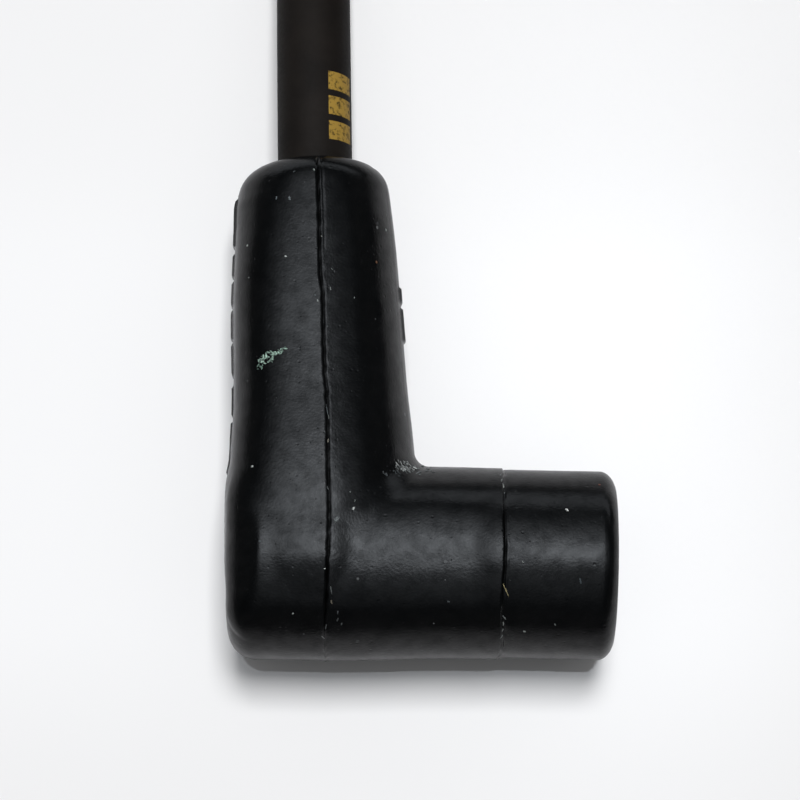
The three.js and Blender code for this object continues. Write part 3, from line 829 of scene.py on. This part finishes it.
def far_profile():
    """Radius and place along the boot, from the lip on the wire along the outside and back inside, with
    its corners rounded and its long runs cut into short steps."""
    neck, skirt = quarter(FAR_EDGE, -90, 0, 9), quarter(FAR_EDGE, 0, 90, 9)
    outside = np.concatenate([
        [(FAR_LIP_RADIUS, 0)],
        np.stack([FAR_NECK - FAR_EDGE + neck[0], FAR_EDGE + neck[1]], axis=1),
        [(FAR_NECK, FAR_CONE[0]), (FAR_SKIRT, FAR_CONE[1])],
        np.stack([FAR_SKIRT - FAR_EDGE + skirt[0], FAR_LENGTH - FAR_EDGE + skirt[1]], axis=1),
        [(FAR_RIM_RADIUS, FAR_LENGTH), (CAVITY_RADIUS, FAR_LENGTH - MOUTH_CHAMFER)],
    ])
    inside = [
        (CAVITY_RADIUS, FAR_BARREL), (GRIP_RADIUS, FAR_BARREL), (GRIP_RADIUS, 0.2 * MM),
        (FAR_LIP_RADIUS, 0),
    ]
    loop = np.concatenate([outside, inside])
    gone = np.concatenate([[0], np.cumsum(np.linalg.norm(np.diff(loop, axis=0), axis=1))])
    steps = np.unique(np.concatenate([gone, np.arange(0, gone[len(outside) - 1], 0.3 * MM)]))
    on_outside = steps < gone[len(outside) - 2]
    return np.interp(steps, gone, loop[:, 0]), np.interp(steps, gone, loop[:, 1]), on_outside


def far_boot_piece():
    """The profile turned round the boot's axis, with the mould's marks as small changes of the radius."""
    radius, along, outside = far_profile()
    angle = round_angles[None]
    run = np.stack([along, 0 * along], axis=1)
    cross = (np.pi - np.abs(np.abs(angle - np.pi) % np.pi - np.pi)) * radius[:, None]
    cross = np.minimum(cross, np.pi * radius[:, None] - cross) - 0.05 * MM * waves(run, 8 * MM, 21)[:, None]
    line = -0.14 * MM * (0.9 + 0.3 * waves(run, 3 * MM, 22))[:, None] * ridge(cross, 0.13 * MM)
    grips = sum(ease(1.6 - np.abs(along - at * MM) / (0.55 * MM)) for at in FAR_RINGS) * FAR_RING_RISE
    around = np.stack([np.cos(round_angles), np.sin(round_angles)], axis=1)
    place = along[:, None] - FAR_CLOSE - 0.15 * MM * waves(around, 1.1, 23)[None]
    closing = -0.14 * MM * ridge(place, 0.12 * MM) - 0.1 * MM * ease(place / (0.3 * MM) + 0.5)
    grown = radius[:, None] + np.where(outside, 1, 0)[:, None] * (line + grips[:, None] + closing)
    grown = np.minimum(grown, FAR_SKIRT + FAR_RING_RISE)
    ring = np.stack([grown * np.sin(angle), -along[:, None] + 0 * angle, grown * np.cos(angle)], axis=-1)
    foot = flat_turn @ np.array([0, -FAR_START, 0]) + tail_foot
    foot[2] = FAR_SKIRT
    points = ring @ flat_turn.T + foot
    points[..., 2] = np.maximum(points[..., 2], 0)
    return joined_grids("far_boot", [points])


far_boot = far_boot_piece()
far_boot.data.materials.append(rubber)
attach(far_boot, "root")
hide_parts("distributor_boot")


# Flecks. Pale dust, a few shreds of flash on the parting line, greenish crumbs on the cable leg and a grey
# scuff in the crook. Each is a thin irregular scale that lies on the rubber.
FLECKS = [
    (-5.9, 37.6, 0.3, 0.2, "#5d666b"), (-4.5, 37.5, 0.36, 0.26, "#6d7579"),
    (-4.7, 31.1, 0.24, 0.2, "#b9c0bf"), (-8.9, 32.7, 0.2, 0.16, "#a9b0ae"),
    (-8.6, 29.1, 0.16, 0.14, "#8e9694"), (-1.2, 26.3, 0.22, 0.18, "#aab1b0"),
    (-1.5, 26.9, 0.3, 0.14, "#62696c"), (5.7, 35.2, 0.26, 0.2, "#8d9493"),
    (4.8, 31.2, 0.24, 0.24, "#6b4d38"), (2.6, 26.9, 0.16, 0.14, "#7f8785"),
    (-2.0, 40.7, 0.24, 0.2, "#8b9391"), (-4.1, 40.5, 0.2, 0.2, "#555d61"),
    (-7.5, 8.7, 0.26, 0.22, "#b8bfbc"), (3.1, 4.4, 0.26, 0.24, "#c9cfcd"), (3.2, 5.2, 0.2, 0.14, "#7b8381"),
    (2.7, 6.1, 0.14, 0.14, "#7b8381"), (-2.9, -6.4, 0.18, 0.16, "#9aa19f"),
    (-6.4, 0.8, 0.24, 0.18, "#6a7276"), (1.4, 3.2, 0.55, 0.4, "#6f7577"), (1.0, -4.0, 0.7, 0.14, "#55595a"),
    (0.5, -7.6, 0.8, 0.1, "#5b5f60"), (1.7, -6.2, 0.5, 0.1, "#494d50"), (0.3, -1.9, 0.16, 0.14, "#c0c6c4"),
    (25.0, 4.8, 0.4, 0.2, "#dfe3e1"), (28.5, 7.8, 0.2, 0.2, "#7a5148"), (18.8, -3.6, 1.1, 0.13, "#948a66"),
    (18.75, -6.3, 0.5, 0.12, "#6c7171"), (20.5, -0.8, 0.16, 0.16, "#9ba19f"),
    (13.0, -4.9, 0.2, 0.2, "#4f5659"), (20.9, -7.6, 0.24, 0.2, "#868c8a"),
    (26.4, -2.6, 0.5, 0.2, "#3e4549"), (24.0, -6.9, 0.2, 0.16, "#6f7775"), (0.1, 14.6, 1.2, 0.1, "#596064"),
    (18.7, -6.9, 0.5, 0.13, "#8a8e8d"), (18.65, -7.5, 0.5, 0.12, "#7b7f7f"),
    (18.6, -8.1, 0.5, 0.12, "#616666"), (18.3, 8.8, 0.5, 0.12, "#6a6f70"),
    (18.35, 8.1, 0.45, 0.13, "#8e9493"), (18.5, 7.4, 0.4, 0.14, "#a0a5a4"),
    (18.6, 6.6, 0.3, 0.1, "#5c6162"), (0.2, 29.8, 0.3, 0.1, "#6a6f70"), (0.1, 27.7, 0.34, 0.12, "#8a8f8e"),
    (-0.1, 23.6, 0.3, 0.1, "#565b5d"), (0.3, 13.9, 0.4, 0.1, "#6e7270"), (0.3, 11.4, 0.5, 0.1, "#8a877c"),
    (0.4, 6.4, 0.4, 0.1, "#5c6062"), (1.05, -5.2, 0.5, 0.12, "#6b655a"), (0.2, -8.6, 0.4, 0.1, "#66686a"),
    (1.7, -6.9, 0.5, 0.12, "#4b4f50"), (2.1, -7.3, 0.4, 0.1, "#4b4f50"),
]
CRUMBS = [
    (-6.5, 20.05, 0.8, 0.5, 26, "#b3d3c4"), (-5.5, 20.75, 0.8, 0.3, 18, "#b3d3c4"),
    (-4.7, 20.95, 0.4, 0.35, 8, "#a5c4b6"), (-7.1, 19.4, 0.4, 0.4, 7, "#7e9c8f"),
    (8.3, 9.5, 1.1, 0.6, 40, "#a7acac"), (9.3, 9.2, 2.0, 0.9, 34, "#717778"),
    (6.6, 8.4, 1.2, 0.6, 9, "#43484b"),
]


def fleck_table():
    """Every fleck as place, length, width, turn and colour; crumbs are scattered inside an oval."""
    chance = np.random.default_rng(31)
    rows = [
        (x, y, 1.25 * long, 1.35 * wide, chance.normal(0, 0.25), colour(tint))
        for x, y, long, wide, tint in FLECKS
    ]
    for x, y, half_x, half_y, count, tint in CRUMBS:
        for _ in range(count):
            turned, out = chance.uniform(0, 2 * np.pi), np.sqrt(chance.uniform(0, 1))
            rows.append((
                x + half_x * out * np.cos(turned), y + half_y * out * np.sin(turned),
                chance.uniform(0.16, 0.6), chance.uniform(0.12, 0.26), chance.uniform(0, np.pi),
                np.array(colour(tint)) * np.array([*[chance.uniform(0.25, 1.2)] * 3, 1]),
            ))
    return rows


def fleck_piece():
    """All flecks as one mesh: round grids, wavy at the edge and domed by the square of the distance."""
    corners = [v.co for v in boot.data.vertices]
    skin = BVHTree.FromPolygons(corners, [p.vertices for p in boot.data.polygons])
    chance = np.random.default_rng(32)
    turned = np.linspace(0, 2 * np.pi, 12, endpoint=False)
    share = np.array([1, 0.7, 0.35, 0])[:, None]
    points, faces, tints = [], [], []
    for x, y, long, wide, turn_by, tint in fleck_table():
        above = Vector((*(elbow[:2] + np.array([x, y]) * MM), 0.05))
        place, out, _, _ = skin.ray_cast(above, Vector((0, 0, -1)))
        ahead = Vector((np.sin(turn_by), np.cos(turn_by), 0))
        ahead = (ahead - ahead.dot(out) * out).normalized()
        side = np.array(ahead.cross(out))
        edge = 1 + 0.28 * np.sin(2 * turned + chance.uniform(0, 6))
        edge += 0.2 * np.sin(5 * turned + chance.uniform(0, 6))
        flat = (np.cos(turned) * edge * long)[:, None] * np.array(ahead)
        flat = flat + (np.sin(turned) * edge * wide)[:, None] * side
        dome = 0.02 + min(wide, 0.2) * 0.3 * (1 - share**2)
        grid = np.array(place) + (share[..., None] * flat / 2 + dome[..., None] * np.array(out)) * MM
        grid[0] -= 0.05 * MM * np.array(out)
        base = sum(len(p) for p in points)
        points.append(grid.reshape(-1, 3))
        faces += (grid_faces(4, 12) + base).tolist() + [list(range(base, base + 12))[::-1]]
        tints.append(np.tile(tint, (48, 1)))
    piece = new_piece("boot_flecks", np.concatenate(points), faces)
    tint_map = piece.data.color_attributes.new("tint", "FLOAT_COLOR", "POINT")
    tint_map.data.foreach_set("color", np.concatenate(tints).ravel())
    return weld(piece, 0.0002 * MM)


def dust():
    """Mineral dust and rubber crumbs: matt, each in its own tint, mottled within a fleck."""
    material, shader = new_material("dust")
    feed(material, shader, "Roughness", 0.8)
    feed(material, shader, "Specular IOR Level", 0.2)
    tint = add(material, "Attribute", attribute_name="tint")
    mottle = spread(material, noise(material, 9000.0, 2.0), 0.0, 1.0, low=0.3, high=0.6)
    feed(material, shader, "Base Color", mixed(material, mottle, "#2a2c2c", tint.outputs["Color"]))
    return material


flecks = fleck_piece()
flecks.data.materials.append(dust())
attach(flecks, "root")


# Metal and plastic pieces that keep their solids: the two snap terminals of plated spring steel, their
# brass clips, the bared ends of the carbon core, and the nylon ties round the coil.
def plain_finish(name, hex_value, metal, roughness, grain, depth):
    """A stamped or moulded finish: one colour with a grain in its roughness and a slight bump."""
    material, shader = new_material(name)
    feed(material, shader, "Base Color", colour(hex_value))
    feed(material, shader, "Metallic", metal)
    texture = noise(material, grain, 4.0)
    feed(material, shader, "Roughness", spread(material, texture, roughness * 0.75, roughness * 1.3))
    bump = add(material, "Bump", {"Height": texture}, in_Strength=0.3, in_Distance=depth)
    feed(material, shader, "Normal", bump.outputs["Normal"])
    return material


def dress(nodes, material):
    """Gives CAD nodes a material in place of their own."""
    for name in nodes:
        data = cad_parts[name].data
        data.materials.clear()
        data.materials.append(material)


plated_steel = plain_finish("plated_steel", "#b8bbc0", metal=1.0, roughness=0.3, grain=900.0, depth=0.01 * MM)
brass_wire = plain_finish("brass_wire", "#c9a45c", metal=1.0, roughness=0.28, grain=900.0, depth=0.01 * MM)
carbon_cord = plain_finish("carbon_cord", "#1c1c1d", metal=0.0, roughness=0.8, grain=2500.0, depth=0.05 * MM)
tie_nylon = plain_finish("tie_nylon", "#26272a", metal=0.0, roughness=0.45, grain=1500.0, depth=0.01 * MM)
dress(["plug_terminal", "distributor_terminal"], plated_steel)
dress(["plug_terminal_clip", "distributor_terminal_clip"], brass_wire)
dress(["plug_end_core", "distributor_end_core"], carbon_cord)
dress(["coil_tie_1", "coil_tie_2", "coil_tie_3"], tie_nylon)


# Table and light. A white acrylic board in a dim room. The rubber mirrors a wide soft box overhead and a
# pale wall on the far side. Two lamps that no gloss shows light everything, one of them small and over the
# far side, so that the shade is deep on our side and thin on the others.
def board():
    """White acrylic: a pale base under a clear gloss that mirrors the boot, with painted shade: seen in a
    reflection, its base is greyer.
    """
    material, shader = new_material("white_acrylic")
    # Painted shade: the board as the rubber's gloss shows it takes a greyer base, which darkens its
    # reflection
    mirrored = add(material, "LightPath").outputs["Is Glossy Ray"]
    base = mixed(material, mirrored, "#ebebec", "#bababc")
    feed(material, shader, "Base Color", base)
    feed(material, shader, "Roughness", 0.03)
    feed(material, shader, "Specular IOR Level", 0.5)
    return material


BOARD_HALF = 1.5
corners = np.array([(-1, -1, 0), (1, -1, 0), (1, 1, 0), (-1, 1, 0)]) * BOARD_HALF
floor = new_piece("board", corners, [(0, 1, 2, 3)], smooth=False)
floor.data.materials.append(board())

# Soft box, seen only in reflections
DAYLIGHT = colour("#f2f8ff")
BOX_HEIGHT = 0.8
BOX_RADIANCE = 6
BOX_ACROSS = [
    (-64, 0), (-56, 0.03), (-49, 0.06), (-42, 0.11), (-35, 0.17), (-28, 0.26), (-21, 0.37), (-14, 0.43),
    (-6, 0.45), (0, 0.53), (4, 0.76), (8, 0.74), (12, 0.28), (17, 0.16), (22, 0.12), (28, 0.1),
    (36, 0.11), (46, 0.07), (56, 0),
]
BOX_ALONG = [
    (-60, 0), (-45, 0.05), (-30, 0.09), (-20, 0.11), (-13, 0.12), (-7, 0.17), (-1, 0.45), (4, 1.25), (9, 1.5),
    (13, 1.02), (17, 0.58), (22, 0.46), (27, 0.35), (33, 0.25), (41, 0.15), (50, 0.09), (58, 0.04), (66, 0),
]


def box_cloth():
    """Lit cloth of the soft box: its glow across and along is a curve over the angle from straight up."""
    material = bare_material("soft_box_cloth")
    place = add(material, "SeparateXYZ", {"Vector": add(material, "TexCoord").outputs["Object"]})
    glow = BOX_RADIANCE
    for axis, stops, middle in (("X", BOX_ACROSS, VIEW_CENTRE[0]), ("Y", BOX_ALONG, VIEW_CENTRE[1])):
        low, high = BOX_HEIGHT * np.tan(np.radians([stops[0][0], stops[-1][0]])) + middle
        share = spread(material, place.outputs[axis], 0.0, 1.0, low, high)
        curve = add(material, "ValToRGB", {"Fac": share})
        curve.color_ramp.interpolation = "B_SPLINE"
        for i, (angle, value) in enumerate(stops):
            at = (BOX_HEIGHT * np.tan(np.radians(angle)) + middle - low) / (high - low)
            if i < 2:
                stop = curve.color_ramp.elements[i]
                stop.position = at
            else:
                stop = curve.color_ramp.elements.new(at)
            stop.color = (value, value, value, 1)
        glow = calculate(material, "MULTIPLY", curve.outputs["Color"], glow)
    shader = add(material, "Emission", {"Strength": glow}, in_Color=DAYLIGHT)
    add(material, "OutputMaterial", {"Surface": shader.outputs["Emission"]})
    return material


edges_x = BOX_HEIGHT * np.tan(np.radians([BOX_ACROSS[0][0], BOX_ACROSS[-1][0]])) + VIEW_CENTRE[0]
edges_y = BOX_HEIGHT * np.tan(np.radians([BOX_ALONG[0][0], BOX_ALONG[-1][0]])) + VIEW_CENTRE[1]
corners = [(x, y, BOX_HEIGHT) for x, y in (
    (edges_x[0], edges_y[0]), (edges_x[0], edges_y[1]), (edges_x[1], edges_y[1]), (edges_x[1], edges_y[0]),
)]
soft_box = new_piece("soft_box", corners, [(0, 1, 2, 3)], smooth=False)
soft_box.data.materials.append(box_cloth())
soft_box.visible_diffuse = False
soft_box.visible_shadow = False

# Pale wall near the far edge of the board, seen only in reflections
WALL_AWAY = 1.4
WALL_HEIGHT = 0.55
WALL_RADIANCE = 0.65
corners = [(-BOARD_HALF, WALL_AWAY, 0), (BOARD_HALF, WALL_AWAY, 0)]
corners += [(BOARD_HALF, WALL_AWAY, WALL_HEIGHT), (-BOARD_HALF, WALL_AWAY, WALL_HEIGHT)]
wall = new_piece("pale_wall", corners, [(0, 1, 2, 3)], smooth=False)
paint = bare_material("wall_paint_glow")
paint_glow = add(paint, "Emission", in_Strength=WALL_RADIANCE, in_Color=DAYLIGHT)
add(paint, "OutputMaterial", {"Surface": paint_glow.outputs["Emission"]})
wall.data.materials.append(paint)
wall.visible_camera = False
wall.visible_diffuse = False
wall.visible_shadow = False

LAMP_DISTANCE = 2.0


def lamp(name, lean_x, lean_y, half_x, half_y, share):
    """A lamp for the board: its middle leans from straight up by two angles in degrees, it reaches half
    an angle to each side, and its power is what lights a level white to a share of full white."""
    lean_x, lean_y, half_x, half_y = np.radians([lean_x, lean_y, half_x, half_y])
    way = Vector((np.tan(lean_x), np.tan(lean_y), 1)).normalized()
    light = bpy.data.lights.new(name, "AREA")
    light.shape = "RECTANGLE"
    light.size = 2 * LAMP_DISTANCE * np.tan(half_x)
    light.size_y = 2 * LAMP_DISTANCE * np.tan(half_y)
    light.energy = share * (np.pi * LAMP_DISTANCE) ** 2 / way.z
    holder = bpy.data.objects.new(name, light)
    bpy.context.collection.objects.link(holder)
    holder.location = Vector(VIEW_CENTRE) + LAMP_DISTANCE * way
    side = Vector((0, 1, 0)).cross(way).normalized()
    holder.rotation_euler = Matrix((side, way.cross(side), way)).transposed().to_euler()
    holder.visible_glossy = False


lamp("board_lamp", lean_x=3, lean_y=13.5, half_x=7, half_y=9, share=0.88)
lamp("room_lamp", lean_x=4, lean_y=6, half_x=48, half_y=48, share=0.44)

# Room: it adds little light, but the camera sees it pale past the edge of the board
ROOM_LIGHT = 0.05
ROOM_SEEN = 0.85
room = bpy.data.worlds.new("dim_room")
room.use_nodes = True
camera_ray = add(room, "LightPath").outputs["Is Camera Ray"]
background = room.node_tree.nodes["Background"]
feed(room, background, "Color", (1, 1, 1, 1))
feed(room, background, "Strength", spread(room, camera_ray, ROOM_LIGHT, ROOM_SEEN))
bpy.context.scene.world = room
bpy.context.scene.view_settings.view_transform = "Standard"
